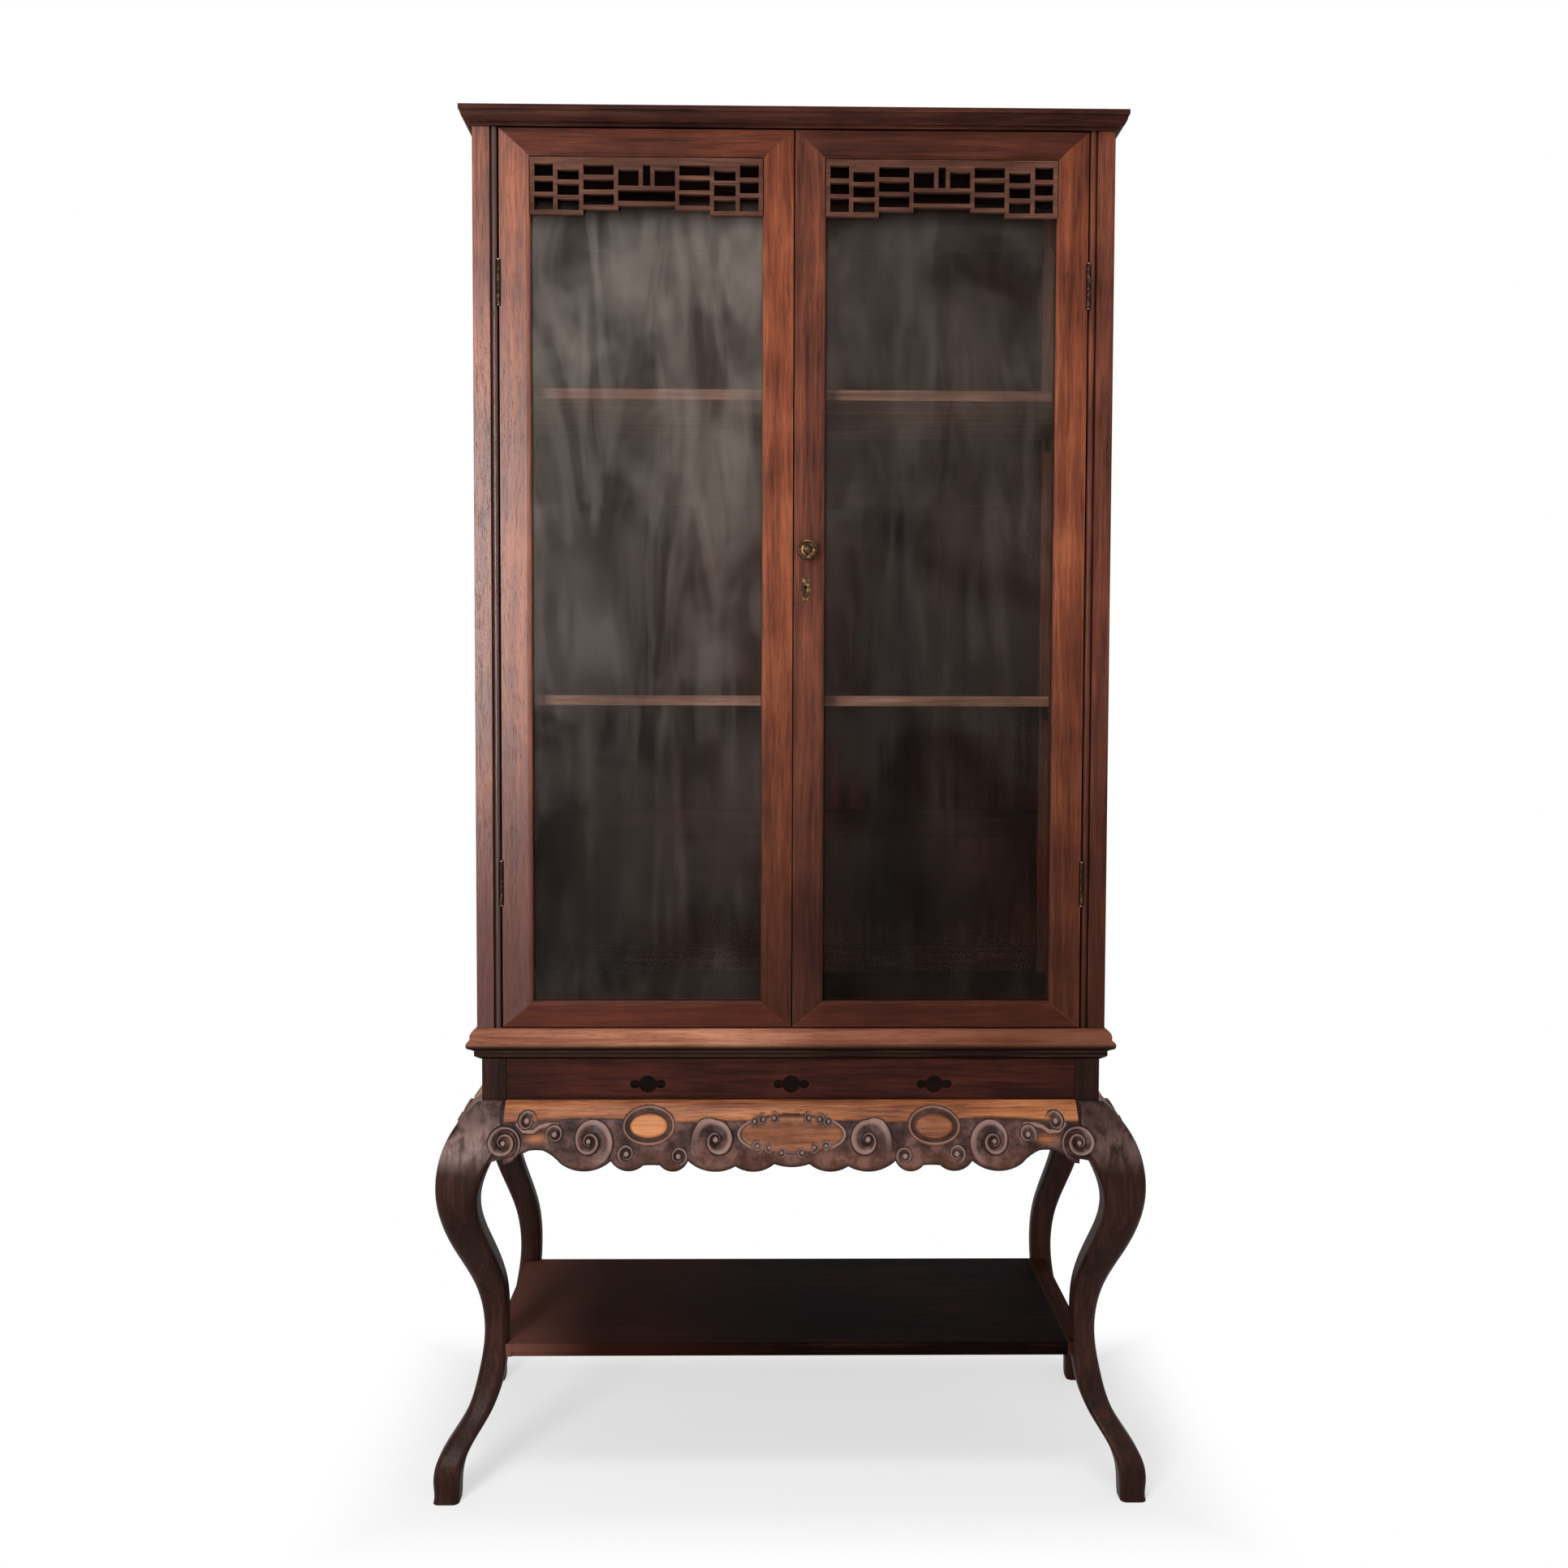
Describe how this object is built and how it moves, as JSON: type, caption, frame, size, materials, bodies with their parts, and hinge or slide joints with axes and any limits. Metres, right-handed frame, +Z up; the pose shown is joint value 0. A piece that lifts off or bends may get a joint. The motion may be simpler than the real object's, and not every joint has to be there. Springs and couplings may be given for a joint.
{
  "type": "chinese book cabinet",
  "caption": "Tall glazed two-door Chinese book cabinet on a stand with a pierced waist, scalloped carved aprons, cabriole legs and a low shelf.",
  "frame": {"origin": "on the floor, below the middle of the whole cabinet with its feet", "axes": "+Z up, -Y out of the front with the doors, +X to the right as seen from the front"},
  "size_m": [0.983, 0.4396, 1.9],
  "materials": {
    "case_wood": "satin",
    "stand_wood": "satin",
    "glass": "gloss",
    "brass": "satin",
    "steel": "satin"
  },
  "bodies": {
    "cabinet": {"apron_back": "stand_wood", "apron_front": "stand_wood", "apron_left": "stand_wood", "apron_right": "stand_wood", "back_panels": "case_wood", "back_rails": "case_wood", "book_shelf_lower": "case_wood", "book_shelf_upper": "case_wood", "cornice_back": "case_wood", "cornice_front": "case_wood", "cornice_left": "case_wood", "cornice_right": "case_wood", "cornice_top_panel": "case_wood", "floor_board": "case_wood", "head_rail": "case_wood", "hinge_frame_leaves": "brass", "hinge_pins": "brass", "leg_front_left": "stand_wood", "leg_front_right": "stand_wood", "leg_rear_left": "stand_wood", "leg_rear_right": "stand_wood", "low_shelf_end_left": "stand_wood", "low_shelf_end_right": "stand_wood", "low_shelf_panel": "stand_wood", "low_shelf_rails": "stand_wood", "post_front_left": "case_wood", "post_front_right": "case_wood", "post_rear_left": "case_wood", "post_rear_right": "case_wood", "shelf_cleats": "case_wood", "side_panels": "case_wood", "side_rails": "case_wood", "stand_frame_back": "stand_wood", "stand_frame_front": "stand_wood", "stand_frame_left": "stand_wood", "stand_frame_right": "stand_wood", "waist_back": "stand_wood", "waist_front": "stand_wood", "waist_left": "stand_wood", "waist_right": "stand_wood"},
    "right_door": {"door_right_fretwork": "case_wood", "door_right_glass": "glass", "door_right_glazing_beads": "case_wood", "door_right_hinge_leaves": "brass", "door_right_inner_stile": "case_wood", "door_right_outer_stile": "case_wood", "door_right_rails": "case_wood", "escutcheon": "brass", "knob": "brass", "lock_case": "steel"},
    "left_door": {"door_bolt_plate": "brass", "door_left_fretwork": "case_wood", "door_left_glass": "glass", "door_left_glazing_beads": "case_wood", "door_left_hinge_leaves": "brass", "door_left_inner_stile": "case_wood", "door_left_outer_stile": "case_wood", "door_left_rails": "case_wood"},
    "lock_bolt": {"lock_bolt": "steel"},
    "door_bolt": {"door_bolt": "brass"}
  },
  "joints": [
    {"name": "right_door_hinge", "type": "hinge", "parent": "cabinet", "child": "right_door", "pos_m": [0.401, -0.16525, 1.26], "axis": [0, 0, 1], "range_deg": [0, 120]},
    {"name": "left_door_hinge", "type": "hinge", "parent": "cabinet", "child": "left_door", "pos_m": [-0.401, -0.16525, 1.26], "axis": [0, 0, -1], "range_deg": [0, 120]},
    {"name": "lock_bolt_slide", "type": "slide", "parent": "right_door", "child": "lock_bolt", "axis": [-1, 0, 0], "range_m": [0, 0.009]},
    {"name": "door_bolt_slide", "type": "slide", "parent": "left_door", "child": "door_bolt", "axis": [0, 0, 1], "range_m": [0, 0.01]}
  ]
}
